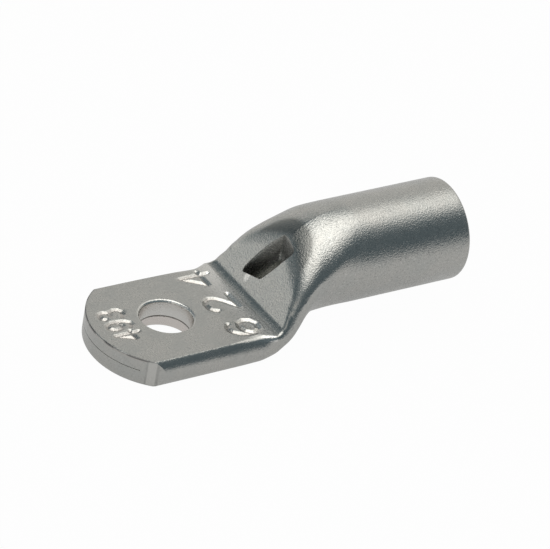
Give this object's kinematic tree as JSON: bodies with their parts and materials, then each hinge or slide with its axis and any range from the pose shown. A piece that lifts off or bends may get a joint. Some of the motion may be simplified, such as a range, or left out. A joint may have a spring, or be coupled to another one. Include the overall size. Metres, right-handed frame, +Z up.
{
  "type": "tubular cable lug",
  "caption": "Tubular copper cable lug, tin plated: a round crimp barrel with an inspection window, pressed flat into a palm with a stud hole.",
  "frame": {"origin": "centre of the stud hole on the contact face, the underside of the palm", "axes": "+X along the tube to the barrel mouth, +Z up out of the palm along the stud"},
  "size_m": [0.063, 0.0222, 0.0185],
  "materials": {
    "tinned_copper": "matt tin plate over copper"
  },
  "bodies": {
    "root": {"cable_lug": "tinned_copper"}
  },
  "joints": []
}
